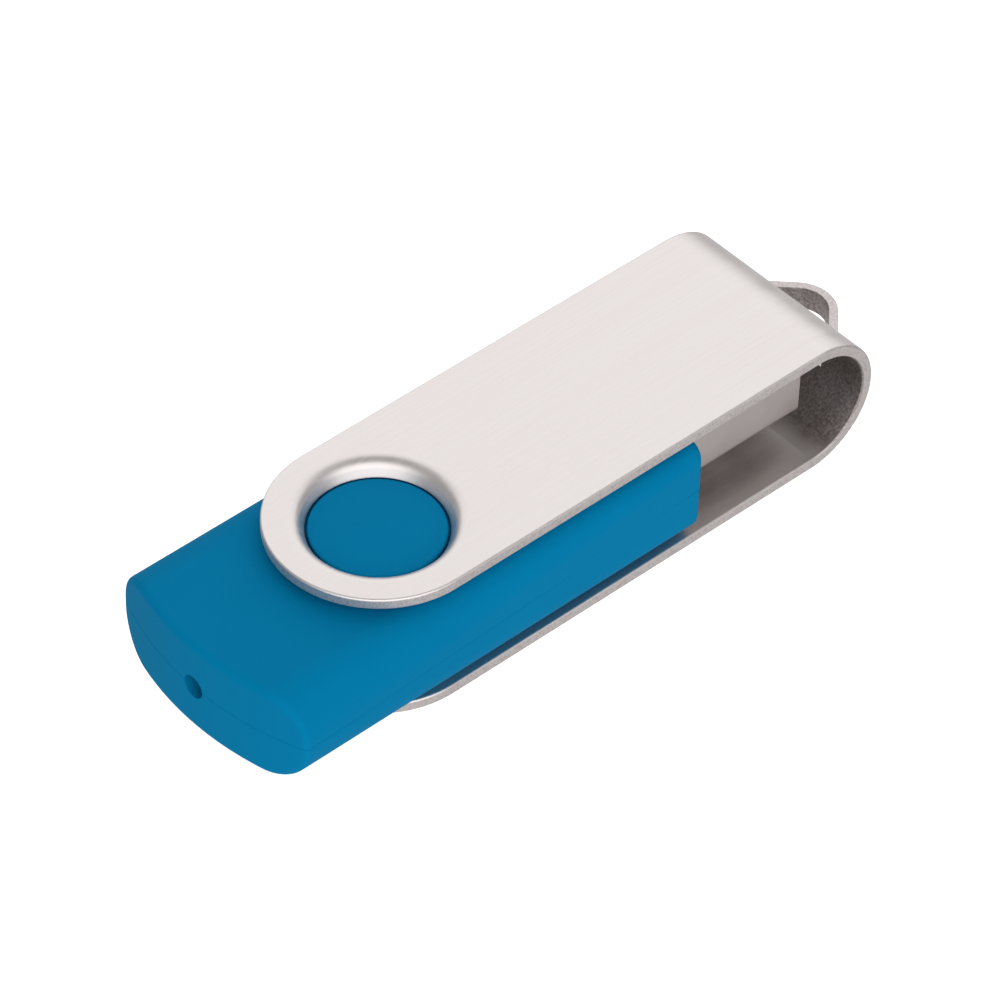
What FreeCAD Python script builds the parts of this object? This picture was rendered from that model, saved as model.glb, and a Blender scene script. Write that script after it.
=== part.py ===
import FreeCAD, Part
import math
import os

import Sketcher

# A swivel USB flash drive. A plastic drive of two half shells holds a circuit board and a USB-A plug.
# A U-shaped metal clip swivels about the round buttons on the drive and covers the plug.
#
# Every sub-part is drawn about the swivel axis (Z), with X towards the plug, Y across the drive and
# Z = 0 on the seam between the two shells. Its Placement then carries it to the part's own frame, whose
# origin lies under the middle of the whole object, on the surface that it rests on.

# ---------------------------------------------------------------- driving dimensions, in millimetres

SIZES = {
    # drive shells
    "drive_height": 8.5,
    "drive_front": 25.2,          # from the swivel axis to the middle of the bowed front
    "drive_back": 17.85,          # from the swivel axis to the middle of the bowed back
    "front_width": 18.0,
    "back_width": 21.0,
    "front_bow_radius": 100.0,
    "back_bow_radius": 27.2,
    "front_side_radius": 1.3,
    "back_side_radius": 4.1,      # nearly half the height, so that the sides end round
    "cavity_side_radius": 2.8,
    "end_edge_radius": 0.6,
    "wall": 1.3,
    "roof": 1.2,
    "seam_bevel": 0.05,
    "button_radius": 5.25,
    "button_shoulder": 4.75,      # height at which the button's rim starts to round over
    "button_rim_radius": 0.2,
    "button_crown": 5.2,          # height of the middle of the button's dome
    "recess_floor": 4.2,
    "swivel_clearance": 0.07,
    "plug_opening_gap": 0.05,
    "led_window_radius": 1.0,
    "post_radius": 1.2,
    "pin_radius": 0.6,
    "pin_length": 1.2,
    "pin_clearance": 0.03,
    "front_post_place": 13.8,
    "back_post_place": 13.2,
    "post_offset": 5.3,
    "rest_place": 10.5,
    "rest_length": 2.0,
    "rest_width": 1.7,
    "rest_face": 7.9,             # from the middle of the drive to a rest's outer face
    "plug_rest_place": 21.2,
    "plug_rest_length": 1.6,
    "plug_rest_width": 8.0,
    # swivel clip
    "clip_width": 17.4,
    "clip_height": 12.0,
    "sheet": 1.0,
    "bend_centre": 37.2,          # from the swivel axis to the middle of the bend
    "sheared_edge": 0.18,
    "rim_radius": 5.45,
    "rim_reach": 1.385,            # from the hole's edge to where the sheet starts to turn down
    "rim_fold_radius": 1.2,
    "loop_reach": 46.75,          # from the swivel axis to the tip of the keyring loop
    "loop_tip_radius": 3.1,
    "loop_strip": 0.75,           # the strip thins as it is pushed out
    "loop_height": 2.1,
    "loop_top": 1.0,              # above the middle of the bend
    "loop_slit": 0.1,
    "loop_root": 4.3,
    "loop_edge": 0.08,
    # USB-A plug
    "plug_width": 12.0,
    "plug_height": 4.5,
    "plug_end": 38.0,             # from the swivel axis to the plug's mouth
    "plug_length": 18.75,
    "plug_steel": 0.3,
    "plug_corner": 0.5,
    "plug_joint": 0.08,
    "window_length": 2.0,
    "window_width": 2.5,
    "window_spacing": 5.5,
    "window_setback": 5.15,
    "tab_length": 2.5,
    "tab_top": 0.3,
    "tab_bottom": 1.5,
    "tongue_gap": 0.03,
    "tongue_width": 11.1,
    "tongue_top": 0.03,
    "tongue_setback": 0.6,
    "tongue_block": 5.3,
    "contact_width": 1.0,
    "contact_strip": 0.2,
    "contact_hook": 0.55,
    "contact_tail": 16.7,
    "power_contact_front": 37.0,
    "data_contact_front": 36.0,
    "power_contact_place": 3.5,
    "data_contact_place": 1.0,
    # circuit board and what is on it
    "board_back": 15.2,
    "board_front": 19.0,
    "board_width": 13.4,
    "board_thickness": 0.8,
    "board_top": 0.2,             # below the seam
    "board_hole_radius": 1.35,
    "board_slot_gap": 0.1,
    "flash_place": 0.3,
    "flash_length": 18.4,
    "flash_width": 12.0,
    "flash_thickness": 1.0,
    "controller_place": 4.0,
    "controller_side": 7.0,
    "controller_thickness": 1.4,
    "standoff": 0.05,
    "package_edge": 0.12,
    "dimple_radius": 0.5,
    "dimple_depth": 0.1,
    "lead_reach": 0.8,
    "lead_foot": 0.45,
    "lead_strip": 0.15,
    "lead_width": 0.22,
    "lead_pitch": 0.5,
    "regulator_place": 13.2,
    "regulator_offset": -1.2,
    "regulator_length": 1.6,
    "regulator_width": 2.9,
    "regulator_thickness": 1.1,
    "regulator_lead_width": 0.4,
    "regulator_lead_pitch": 0.95,
    "crystal_place": -5.5,
    "crystal_length": 5.0,
    "crystal_width": 3.2,
    "crystal_base_height": 0.6,
    "crystal_lid_height": 0.5,
    "crystal_lid_inset": 0.25,
    "led_place": -14.6,
    "led_length": 0.8,
    "led_width": 1.6,
    "led_height": 0.6,
    "chip_part_length": 1.6,
    "chip_part_width": 0.8,
    "capacitor_height": 0.8,
    "resistor_height": 0.45,
    "bead_length": 1.25,
    "bead_width": 2.0,
    "bead_height": 0.9,
    "bead_place": 14.6,
    "bead_offset": 2.4,
}

FLASH_LEADS_PER_END = 24
CONTROLLER_LEADS_PER_SIDE = 12
THROUGH = 60.0                    # longer than anything that it has to cut through
OVERLAP = 0.1                     # how far a rib reaches into the wall that carries it

# Places of the small parts on the board: along the drive, across it.
CAPACITORS_ABOVE = [(12.1, 3.2), (11.9, -4.2), (-11.2, 0.0)]
CAPACITORS_BELOW = [(11.0, 3.0), (11.0, -3.0), (-10.5, 2.5), (-10.5, -2.5)]
RESISTORS_ABOVE = [(-12.6, 2.4), (-12.6, -2.4)]
RESISTORS_BELOW = [(14.6, 1.2), (14.6, -1.2), (-2.0, 4.6), (-2.0, -4.6)]

document = FreeCAD.newDocument("usb_flash_drive")
sheet = document.addObject("Spreadsheet::Sheet", "Sizes")
for row, (alias, value) in enumerate(SIZES.items(), start=1):
    sheet.set(f"A{row}", alias)
    sheet.set(f"B{row}", str(value))
    sheet.setAlias(f"B{row}", alias)
document.recompute()


# ---------------------------------------------------------------- lengths tied to the sheet


class Length:
    """A length worked out from the sheet: its value now, and the expression that keeps it true."""

    def __init__(self, value, text):
        self.value = value
        self.text = text

    def __add__(self, other):
        other = as_length(other)
        return Length(self.value + other.value, f"({self.text} + {other.text})")

    def __sub__(self, other):
        other = as_length(other)
        return Length(self.value - other.value, f"({self.text} - {other.text})")

    def __mul__(self, other):
        other = as_length(other)
        return Length(self.value * other.value, f"({self.text} * {other.text})")

    def __truediv__(self, other):
        other = as_length(other)
        return Length(self.value / other.value, f"({self.text} / {other.text})")

    def __neg__(self):
        return Length(-self.value, f"(0 - {self.text})")


def as_length(number):
    if isinstance(number, Length):
        return number
    return Length(float(number), f"({float(number)})")


def size(alias):
    return Length(sheet.get(alias), f"Sizes.{alias}")


def root(length):
    return Length(math.sqrt(length.value), f"sqrt({length.text})")


def bind(feature, name, length):
    """Tie a property to the sheet, after setting it to the length that it has now."""
    length = as_length(length)
    if name in feature.PropertiesList:
        setattr(feature, name, length.value)
    feature.setExpression(name, length.text)


# ---------------------------------------------------------------- sketches


def new_body(label):
    body = document.addObject("PartDesign::Body", label)
    body.Label = label
    return body


def new_sketch(body, plane, height=None):
    """A sketch on one of the body's own origin planes, or parallel to it at a height."""
    sketch = body.newObject("Sketcher::SketchObject", f"{body.Label}_sketch")
    role = f"{plane}_Plane"
    support = [datum for datum in body.Origin.OriginFeatures if datum.Role == role][0]
    sketch.AttachmentSupport = [(support, "")]
    sketch.MapMode = "FlatFace"
    if height is not None:
        bind(sketch, "AttachmentOffset.Base.z", height)
    return sketch


def pin_point(sketch, geometry, position, x, y):
    """Hold a sketch point at x, y. None leaves that direction free."""
    for direction, axis, length in (("DistanceX", -2, x), ("DistanceY", -1, y)):
        if length is None:
            continue
        length = as_length(length)
        if abs(length.value) < 1e-9:
            sketch.addConstraint(Sketcher.Constraint("PointOnObject", geometry, position, axis))
            continue
        constraint = Sketcher.Constraint(direction, -1, 1, geometry, position, length.value)
        index = sketch.addConstraint(constraint)
        sketch.setExpression(f"Constraints[{index}]", length.text)


def corner(x, y, centre=None, left=True):
    """A corner of an outline. With a centre, an arc leads to it, turning left or right."""
    return {"x": as_length(x), "y": as_length(y), "centre": centre, "left": left}


def draw_line(sketch, start, end):
    first = FreeCAD.Vector(start["x"].value, start["y"].value, 0)
    last = FreeCAD.Vector(end["x"].value, end["y"].value, 0)
    index = sketch.addGeometry(Part.LineSegment(first, last))
    return index, 1, 2


def draw_arc(sketch, start, end):
    centre_x = as_length(end["centre"][0])
    centre_y = as_length(end["centre"][1])
    middle = FreeCAD.Vector(centre_x.value, centre_y.value, 0)
    start_x = start["x"].value - middle.x
    start_y = start["y"].value - middle.y
    end_x = end["x"].value - middle.x
    end_y = end["y"].value - middle.y
    circle = Part.Circle(middle, FreeCAD.Vector(0, 0, 1), math.hypot(start_x, start_y))
    start_angle = math.atan2(start_y, start_x)
    end_angle = math.atan2(end_y, end_x)
    if end["left"]:
        index = sketch.addGeometry(Part.ArcOfCircle(circle, start_angle, end_angle))
        ends = (index, 1, 2)
    else:
        index = sketch.addGeometry(Part.ArcOfCircle(circle, end_angle, start_angle))
        ends = (index, 2, 1)
    # Both ends are held by the corners, so one coordinate of the centre is all that is left free.
    if abs(end_y - start_y) > abs(end_x - start_x):
        pin_point(sketch, index, 3, centre_x, None)
    else:
        pin_point(sketch, index, 3, None, centre_y)
    return ends


def draw_outline(sketch, corners):
    """Draw a closed outline through the corners, each held where the sheet puts it."""
    edges = []
    for index, end in enumerate(corners):
        draw = draw_arc if end["centre"] else draw_line
        edges.append(draw(sketch, corners[index - 1], end))
    for index, end in enumerate(corners):
        geometry, _, last = edges[index]
        following, first, _ = edges[(index + 1) % len(edges)]
        sketch.addConstraint(Sketcher.Constraint("Coincident", geometry, last, following, first))
        pin_point(sketch, geometry, last, end["x"], end["y"])


def draw_rectangle(sketch, low_x, high_x, low_y, high_y):
    draw_outline(sketch, [corner(low_x, low_y), corner(high_x, low_y),
                          corner(high_x, high_y), corner(low_x, high_y)])


def draw_rounded_rectangle(sketch, half_x, half_y, radius):
    """A rectangle about the sketch's origin with round corners."""
    inner_x = half_x - radius
    inner_y = half_y - radius
    draw_outline(sketch, [
        corner(inner_x, -half_y),
        corner(half_x, -inner_y, centre=(inner_x, -inner_y)),
        corner(half_x, inner_y),
        corner(inner_x, half_y, centre=(inner_x, inner_y)),
        corner(-inner_x, half_y),
        corner(-half_x, inner_y, centre=(-inner_x, inner_y)),
        corner(-half_x, -inner_y),
        corner(-inner_x, -half_y, centre=(-inner_x, -inner_y)),
    ])


def draw_circle(sketch, x, y, radius):
    x = as_length(x)
    y = as_length(y)
    middle = FreeCAD.Vector(x.value, y.value, 0)
    circle = Part.Circle(middle, FreeCAD.Vector(0, 0, 1), as_length(radius).value)
    index = sketch.addGeometry(circle)
    pin_point(sketch, index, 3, x, y)
    constraint = sketch.addConstraint(Sketcher.Constraint("Radius", index, as_length(radius).value))
    sketch.setExpression(f"Constraints[{constraint}]", as_length(radius).text)


# ---------------------------------------------------------------- features


def add_extrusion(kind, body, sketch, length, symmetric, reverse):
    feature = body.newObject(f"PartDesign::{kind}", f"{body.Label}_{kind.lower()}")
    feature.Profile = sketch
    feature.SideType = "Symmetric" if symmetric else "One side"
    feature.Reversed = reverse
    bind(feature, "Length", length)
    document.recompute()
    return feature


def pad(body, sketch, length, symmetric=False, reverse=False):
    return add_extrusion("Pad", body, sketch, length, symmetric, reverse)


def pocket(body, sketch, length, symmetric=False, reverse=False):
    """Cut a pocket, and stop if it took nothing away."""
    before = body.Shape.Volume
    feature = add_extrusion("Pocket", body, sketch, length, symmetric, reverse)
    if body.Shape.Volume >= before:
        raise ValueError(f"{feature.Name} cuts nothing")
    return feature


def loft(body, first, last):
    """Join two sections with straight lines."""
    feature = body.newObject("PartDesign::AdditiveLoft", f"{body.Label}_loft")
    feature.Profile = first
    feature.Sections = [last]
    feature.Ruled = True
    document.recompute()
    return feature


def revolve(body, sketch):
    """Turn a profile a full turn about the swivel axis."""
    feature = body.newObject("PartDesign::Revolution", f"{body.Label}_revolution")
    feature.Profile = sketch
    feature.ReferenceAxis = (sketch, ["V_Axis"])
    feature.Angle = 360
    document.recompute()
    return feature


def dress_edges(kind, body, radius, test):
    """Fillet or chamfer the edges of the body so far that pass the test."""
    base = body.Tip
    names = [f"Edge{number}" for number, edge in enumerate(base.Shape.Edges, start=1) if test(edge)]
    if not names:
        raise ValueError(f"{body.Label} has no such edge")
    feature = body.newObject(f"PartDesign::{kind}", f"{body.Label}_{kind.lower()}")
    feature.Base = (base, names)
    bind(feature, "Radius" if kind == "Fillet" else "Size", radius)
    document.recompute()
    return feature


def near(first, second, tolerance=1e-4):
    return abs(first - second) < tolerance


def lies_at_z(edge, height):
    return near(edge.BoundBox.ZMin, height) and near(edge.BoundBox.ZMax, height)


def place_in_frame(sub_part):
    """Carry a sub-part from the swivel axis to the frame under the middle of the object."""
    bind(sub_part, "Placement.Base.x", (size("drive_back") - size("loop_reach")) / 2)
    bind(sub_part, "Placement.Base.z", size("clip_height") / 2)


# ---------------------------------------------------------------- drive shells


def side_section(width, side_radius, upper):
    """Half of a cross-section of the drive, above or below the seam: flat, with round sides."""
    sign = 1 if upper else -1
    side = width / 2
    face = size("drive_height") / 2 * sign
    flat = side - side_radius
    turn = face - side_radius * sign
    return [
        corner(-side, 0),
        corner(-side, turn),
        corner(-flat, face, centre=(-flat, turn), left=not upper),
        corner(flat, face),
        corner(side, turn, centre=(flat, turn), left=not upper),
        corner(side, 0),
    ]


def drive_plan(inset):
    """The drive's plan, drawn in by an inset: sides that spread backwards, between two bowed ends."""
    front_side = size("front_width") / 2 - inset
    front_radius = size("front_bow_radius") - inset
    front_centre = size("drive_front") - size("front_bow_radius")
    front_corner = front_centre + root(front_radius * front_radius - front_side * front_side)
    back_side = size("back_width") / 2 - inset
    back_radius = size("back_bow_radius") - inset
    back_centre = size("back_bow_radius") - size("drive_back")
    back_corner = back_centre - root(back_radius * back_radius - back_side * back_side)
    return [
        corner(front_corner, -front_side),
        corner(front_corner, front_side, centre=(front_centre, 0)),
        corner(back_corner, back_side),
        corner(back_corner, -back_side, centre=(back_centre, 0)),
    ]


def cut_bowed_ends(body):
    """Take away what lies beyond the drive's bowed front and back."""
    side = size("back_width") / 2 + size("wall")
    beyond = size("drive_front") + size("wall") * 2
    front_radius = size("front_bow_radius")
    front_centre = size("drive_front") - front_radius
    front = front_centre + root(front_radius * front_radius - side * side)
    back_radius = size("back_bow_radius")
    back_centre = back_radius - size("drive_back")
    back = back_centre - root(back_radius * back_radius - side * side)
    ends = new_sketch(body, "XY")
    draw_outline(ends, [
        corner(beyond, -side),
        corner(front, -side),
        corner(front, side, centre=(front_centre, 0)),
        corner(beyond, side),
    ])
    draw_outline(ends, [
        corner(-beyond, side),
        corner(back, side),
        corner(back, -side, centre=(back_centre, 0)),
        corner(-beyond, -side),
    ])
    pocket(body, ends, THROUGH, symmetric=True)


def shape_outside(body, upper):
    """The block of the shell: it spreads backwards as its sides turn round, and its ends are bowed."""
    front = new_sketch(body, "YZ", size("drive_front") + size("wall"))
    draw_outline(front, side_section(size("front_width"), size("front_side_radius"), upper))
    back = new_sketch(body, "YZ", -(size("drive_back") + size("wall")))
    draw_outline(back, side_section(size("back_width"), size("back_side_radius"), upper))
    loft(body, front, back)
    cut_bowed_ends(body)

    side = size("front_width").value / 2

    def is_end_edge(edge):
        return not lies_at_z(edge, 0) and edge.BoundBox.XLength < side

    dress_edges("Fillet", body, size("end_edge_radius"), is_end_edge)

    back_corner = drive_plan(as_length(0))[2]["x"].value

    def is_back_seam(edge):
        return lies_at_z(edge, 0) and edge.CenterOfGravity.x < back_corner

    dress_edges("Chamfer", body, size("seam_bevel"), is_back_seam)


def hollow_out(body, upper):
    """The cavity, the plug's opening in the front wall and the window in the back wall."""
    half_height = size("drive_height") / 2
    cavity = new_sketch(body, "XY")
    draw_outline(cavity, drive_plan(size("wall")))
    pocket(body, cavity, half_height - size("roof"), reverse=upper)
    ceiling = (half_height - size("roof")).value

    side = size("front_width").value / 2

    def is_cavity_edge(edge):
        return lies_at_z(edge, ceiling if upper else -ceiling) and edge.BoundBox.XLength > side

    dress_edges("Fillet", body, size("cavity_side_radius"), is_cavity_edge)

    gap = size("plug_opening_gap")
    half_opening = size("plug_width") / 2 + gap
    opening = new_sketch(body, "XY")
    inside = size("drive_front") - size("wall") * 2
    draw_rectangle(opening, inside, size("drive_front") + size("wall"), -half_opening, half_opening)
    pocket(body, opening, size("plug_height") / 2 + gap, reverse=upper)

    window = new_sketch(body, "YZ", -(size("drive_back") - size("wall") * 2))
    draw_circle(window, 0, 0, size("led_window_radius"))
    pocket(body, window, size("wall") * 3, reverse=False)


def add_button(body, upper):
    """The ring recess for the clip's rim, and the round button that stands in it."""
    sign = 1 if upper else -1
    half_height = size("drive_height") / 2
    recess = new_sketch(body, "XY", half_height * sign)
    draw_circle(recess, 0, 0, size("rim_radius") + size("sheet") + size("swivel_clearance"))
    draw_circle(recess, 0, 0, size("button_radius"))
    pocket(body, recess, half_height - size("recess_floor"), reverse=not upper)

    radius = size("button_radius")
    rim = size("button_rim_radius")
    shoulder = size("button_shoulder")
    crown = size("button_crown")
    flat_radius = radius - rim
    rise = crown - shoulder - rim
    dome_radius = (flat_radius * flat_radius + rise * rise) / (rise * 2)
    profile = new_sketch(body, "XZ")
    draw_outline(profile, [
        corner(0, (half_height - size("roof") / 2) * sign),
        corner(radius, (half_height - size("roof") / 2) * sign),
        corner(radius, shoulder * sign),
        corner(flat_radius, (shoulder + rim) * sign, centre=(flat_radius, shoulder * sign), left=upper),
        corner(0, crown * sign, centre=(0, (crown - dome_radius) * sign), left=upper),
    ])
    revolve(body, profile)


def add_rests(body, upper):
    """Rests that grip the board's edges, and a rib that holds the plug."""
    ceiling = size("drive_height") / 2 - size("roof") + OVERLAP
    board_top = -size("board_top")
    board_bottom = board_top - size("board_thickness")
    board_face = board_top if upper else board_bottom
    rests = new_sketch(body, "XY", board_face)
    for along in (1, -1):
        for across in (1, -1):
            near_x = (size("rest_place") - size("rest_length") / 2) * along
            far_x = (size("rest_place") + size("rest_length") / 2) * along
            edge_y = (size("rest_face") - size("rest_width")) * across
            face_y = size("rest_face") * across
            draw_rectangle(rests, near_x, far_x, edge_y, face_y)
    rest_height = ceiling - board_face if upper else ceiling + board_face
    pad(body, rests, rest_height, reverse=not upper)

    sign = 1 if upper else -1
    half_plug = size("plug_height") / 2 + size("plug_opening_gap") / 2
    rib = new_sketch(body, "XY", half_plug * sign)
    half_length = size("plug_rest_length") / 2
    half_width = size("plug_rest_width") / 2
    place = size("plug_rest_place")
    draw_rectangle(rib, place - half_length, place + half_length, -half_width, half_width)
    pad(body, rib, ceiling - half_plug, reverse=not upper)


def post_places():
    offset = size("post_offset")
    for place in (size("front_post_place"), -size("back_post_place")):
        yield place, offset
        yield place, -offset


def add_posts(body, upper):
    """Four posts that meet at the seam: pins on the lower shell, sockets in the upper one."""
    ceiling = size("drive_height") / 2 - size("roof") + OVERLAP
    posts = new_sketch(body, "XY")
    for place, offset in post_places():
        draw_circle(posts, place, offset, size("post_radius"))
    pad(body, posts, ceiling, reverse=not upper)

    pins = new_sketch(body, "XY")
    for place, offset in post_places():
        clearance = size("pin_clearance") if upper else as_length(0)
        draw_circle(pins, place, offset, size("pin_radius") + clearance)
    if upper:
        pocket(body, pins, size("pin_length") + size("pin_clearance"), reverse=True)
    else:
        pad(body, pins, size("pin_length"))


def build_shell(label, upper):
    body = new_body(label)
    shape_outside(body, upper)
    hollow_out(body, upper)
    add_button(body, upper)
    add_rests(body, upper)
    add_posts(body, upper)
    return body


# ---------------------------------------------------------------- swivel clip


def bend_sheet(body):
    """The sheet bent into a U: two parallel arms and a half-round bend."""
    half_height = size("clip_height") / 2
    inner = half_height - size("sheet")
    bend = size("bend_centre")
    end = -size("clip_width")
    side = new_sketch(body, "XZ")
    draw_outline(side, [
        corner(end, half_height),
        corner(end, inner),
        corner(bend, inner),
        corner(bend, -inner, centre=(bend, 0), left=False),
        corner(end, -inner),
        corner(end, -half_height),
        corner(bend, -half_height),
        corner(bend, half_height, centre=(bend, 0)),
    ])
    pad(body, side, size("clip_width"), symmetric=True)


def round_arm_ends(body):
    """Round ends about the swivel axis, and the slightly broken edge that shearing leaves all round."""
    half_width = size("clip_width") / 2
    beyond = size("clip_width") + 1
    ends = new_sketch(body, "XY")
    draw_outline(ends, [
        corner(0, -beyond),
        corner(0, -half_width),
        corner(0, half_width, centre=(0, 0), left=False),
        corner(0, beyond),
        corner(-beyond, beyond),
        corner(-beyond, -beyond),
    ])
    pocket(body, ends, THROUGH, symmetric=True)

    half_height = size("clip_height").value / 2
    inner = half_height - size("sheet").value

    def is_sheared_edge(edge):
        box = edge.BoundBox
        flat = near(box.ZLength, 0) and box.XLength > 1
        on_face = near(abs(box.ZMin), half_height) or near(abs(box.ZMin), inner)
        follows_outline = flat and on_face
        round_bend = box.ZLength > inner and near(box.YLength, 0)
        across = near(box.XLength, 0)
        return (follows_outline or round_bend) and not across

    dress_edges("Fillet", body, size("sheared_edge"), is_sheared_edge)


def rim_outline(sign):
    """Section of the drawn-in rim round a hole: the sheet folds down to 60 degrees and ends square."""
    half_height = size("clip_height") / 2
    fold = size("rim_fold_radius")
    bore = size("rim_radius")
    start = bore + size("rim_reach")
    sine = root(as_length(0.75))
    fold_x = start - fold * sine
    fold_z = half_height - fold / 2
    edge_z = fold_z - (fold_x - bore) * sine * 2
    outer_x = bore + size("sheet") * sine
    outer_z = edge_z - size("sheet") / 2
    inner_z = half_height - size("sheet")
    inner_x = outer_x + (inner_z - outer_z) / (sine * 2)
    return [
        corner(start, half_height * sign),
        corner(fold_x, fold_z * sign, centre=(start, (half_height - fold) * sign), left=sign > 0),
        corner(bore, edge_z * sign),
        corner(outer_x, outer_z * sign),
        corner(inner_x, inner_z * sign),
    ]


def draw_in_holes(body):
    """A hole in each arm, its rim drawn in towards the drive."""
    holes = new_sketch(body, "XY")
    draw_circle(holes, 0, 0, size("rim_radius") + size("rim_reach"))
    pocket(body, holes, THROUGH, symmetric=True)
    rims = new_sketch(body, "XZ")
    draw_outline(rims, rim_outline(1))
    draw_outline(rims, rim_outline(-1))
    revolve(body, rims)


def push_out_loop(body):
    """The keyring loop: a strip between two slits in the bend, pushed out into a rounded point."""
    bend = size("bend_centre")
    outer_wall = bend + size("clip_height") / 2
    inner_wall = outer_wall - size("sheet")
    window = new_sketch(body, "XY", size("loop_top") + size("loop_slit"))
    draw_rectangle(window, bend, outer_wall + 1, -size("loop_root"), size("loop_root"))
    pocket(body, window, size("loop_height") + size("loop_slit") * 2)

    # Each leg of the strip leaves the bend at 45 degrees and runs tangent into the tip's arc.
    tip = size("loop_tip_radius")
    tip_centre = size("loop_reach") - tip
    inner_tip = tip - size("loop_strip")
    slope = root(as_length(0.5))
    reach = tip * slope
    inner_reach = inner_tip * slope
    outer_foot_x = outer_wall - size("sheet") / 4
    outer_foot_y = tip_centre + reach * 2 - outer_foot_x
    inner_foot_x = inner_wall + size("sheet") / 8
    inner_foot_y = tip_centre + inner_reach * 2 - inner_foot_x
    foot_y = outer_foot_y + size("sheet") / 3
    strip = new_sketch(body, "XY", size("loop_top"))
    draw_outline(strip, [
        corner(outer_foot_x, -outer_foot_y),
        corner(tip_centre + reach, -reach),
        corner(tip_centre + reach, reach, centre=(tip_centre, 0)),
        corner(outer_foot_x, outer_foot_y),
        corner(outer_foot_x, foot_y),
        corner(inner_foot_x, foot_y),
        corner(inner_foot_x, inner_foot_y),
        corner(tip_centre + inner_reach, inner_reach),
        corner(tip_centre + inner_reach, -inner_reach, centre=(tip_centre, 0), left=False),
        corner(inner_foot_x, -inner_foot_y),
        corner(inner_foot_x, -foot_y),
        corner(outer_foot_x, -foot_y),
    ])
    pad(body, strip, size("loop_height"), reverse=True)

    top = size("loop_top").value
    bottom = top - size("loop_height").value
    wall_face = outer_wall.value

    def is_strip_edge(edge):
        at_face = lies_at_z(edge, top) or lies_at_z(edge, bottom)
        return at_face and edge.BoundBox.XMax > wall_face + 1

    dress_edges("Fillet", body, size("loop_edge"), is_strip_edge)


def build_clip():
    body = new_body("swivel_clip")
    bend_sheet(body)
    round_arm_ends(body)
    draw_in_holes(body)
    push_out_loop(body)
    return body


# ---------------------------------------------------------------- USB-A plug


def build_plug_shell():
    """The steel shell: a folded tube with a joint line underneath, four windows and two solder tabs."""
    body = new_body("plug_shell")
    half_width = size("plug_width") / 2
    half_height = size("plug_height") / 2
    steel = size("plug_steel")
    rear = size("plug_end") - size("plug_length")
    tube = new_sketch(body, "YZ", rear)
    draw_rounded_rectangle(tube, half_width, half_height, size("plug_corner"))
    draw_rounded_rectangle(tube, half_width - steel, half_height - steel, size("plug_corner") - steel)
    pad(body, tube, size("plug_length"))

    joint = new_sketch(body, "XY", -(half_height - steel / 2))
    half_joint = size("plug_joint") / 2
    draw_rectangle(joint, rear - 1, size("plug_end") + 1, -half_joint, half_joint)
    pocket(body, joint, steel * 2, symmetric=True)

    windows = new_sketch(body, "XY")
    middle = size("plug_end") - size("window_setback")
    half_length = size("window_length") / 2
    for side in (1, -1):
        inner_y = (size("window_spacing") - size("window_width")) / 2 * side
        outer_y = (size("window_spacing") + size("window_width")) / 2 * side
        draw_rectangle(windows, middle - half_length, middle + half_length, inner_y, outer_y)
    pocket(body, windows, THROUGH, symmetric=True)

    tabs = new_sketch(body, "XY", -size("tab_bottom"))
    for side in (1, -1):
        outer_y = half_width * side
        inner_y = (half_width - steel) * side
        draw_rectangle(tabs, rear - size("tab_length"), rear + steel, inner_y, outer_y)
    pad(body, tabs, size("tab_bottom") + size("tab_top"))
    return body


def contact_places():
    """Each contact: its name, its place across the plug, and how far its front end reaches."""
    power = size("power_contact_front")
    data = size("data_contact_front")
    yield "contact_vbus", size("power_contact_place"), power
    yield "contact_data_minus", size("data_contact_place"), data
    yield "contact_data_plus", -size("data_contact_place"), data
    yield "contact_ground", -size("power_contact_place"), power


def build_plug_tongue():
    """The insulator: a block that fills the shell's rear, and a tongue along its lower half."""
    body = new_body("plug_tongue")
    gap = size("tongue_gap")
    half_inside = size("plug_height") / 2 - size("plug_steel") - gap
    rear = size("plug_end") - size("plug_length") + size("plug_steel")
    front = size("plug_end") - size("tongue_setback")
    half_width = size("tongue_width") / 2
    top = -size("tongue_top")
    tongue = new_sketch(body, "XY", -half_inside)
    draw_rectangle(tongue, rear, front, -half_width, half_width)
    pad(body, tongue, half_inside + top)

    block = new_sketch(body, "XY", -half_inside)
    draw_rectangle(block, rear, rear + size("tongue_block"), -half_width, half_width)
    pad(body, block, half_inside * 2)

    strip = size("contact_strip")
    half_contact = size("contact_width") / 2
    grooves = new_sketch(body, "XY", -strip)
    hooks = new_sketch(body, "XY")
    for _, place, reach in contact_places():
        draw_rectangle(grooves, rear - 1, reach, place - half_contact, place + half_contact)
        draw_rectangle(hooks, reach - strip, reach, place - half_contact, place + half_contact)
    pocket(body, grooves, strip, reverse=True)
    pocket(body, hooks, size("contact_hook"))
    return body


def build_contact(label, place, reach):
    """A gold-plated strip: hooked down into the tongue in front, soldered to the board behind."""
    body = new_body(label)
    strip = size("contact_strip")
    hook = size("contact_hook")
    side = new_sketch(body, "XZ", -place)
    draw_outline(side, [
        corner(size("contact_tail"), -strip),
        corner(reach - strip, -strip),
        corner(reach - strip, -hook),
        corner(reach, -hook),
        corner(reach, -strip),
        corner(reach - strip, 0, centre=(reach - strip, -strip)),
        corner(size("contact_tail"), 0),
    ])
    pad(body, side, size("contact_width"), symmetric=True)
    return body


# ---------------------------------------------------------------- circuit board


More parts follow.
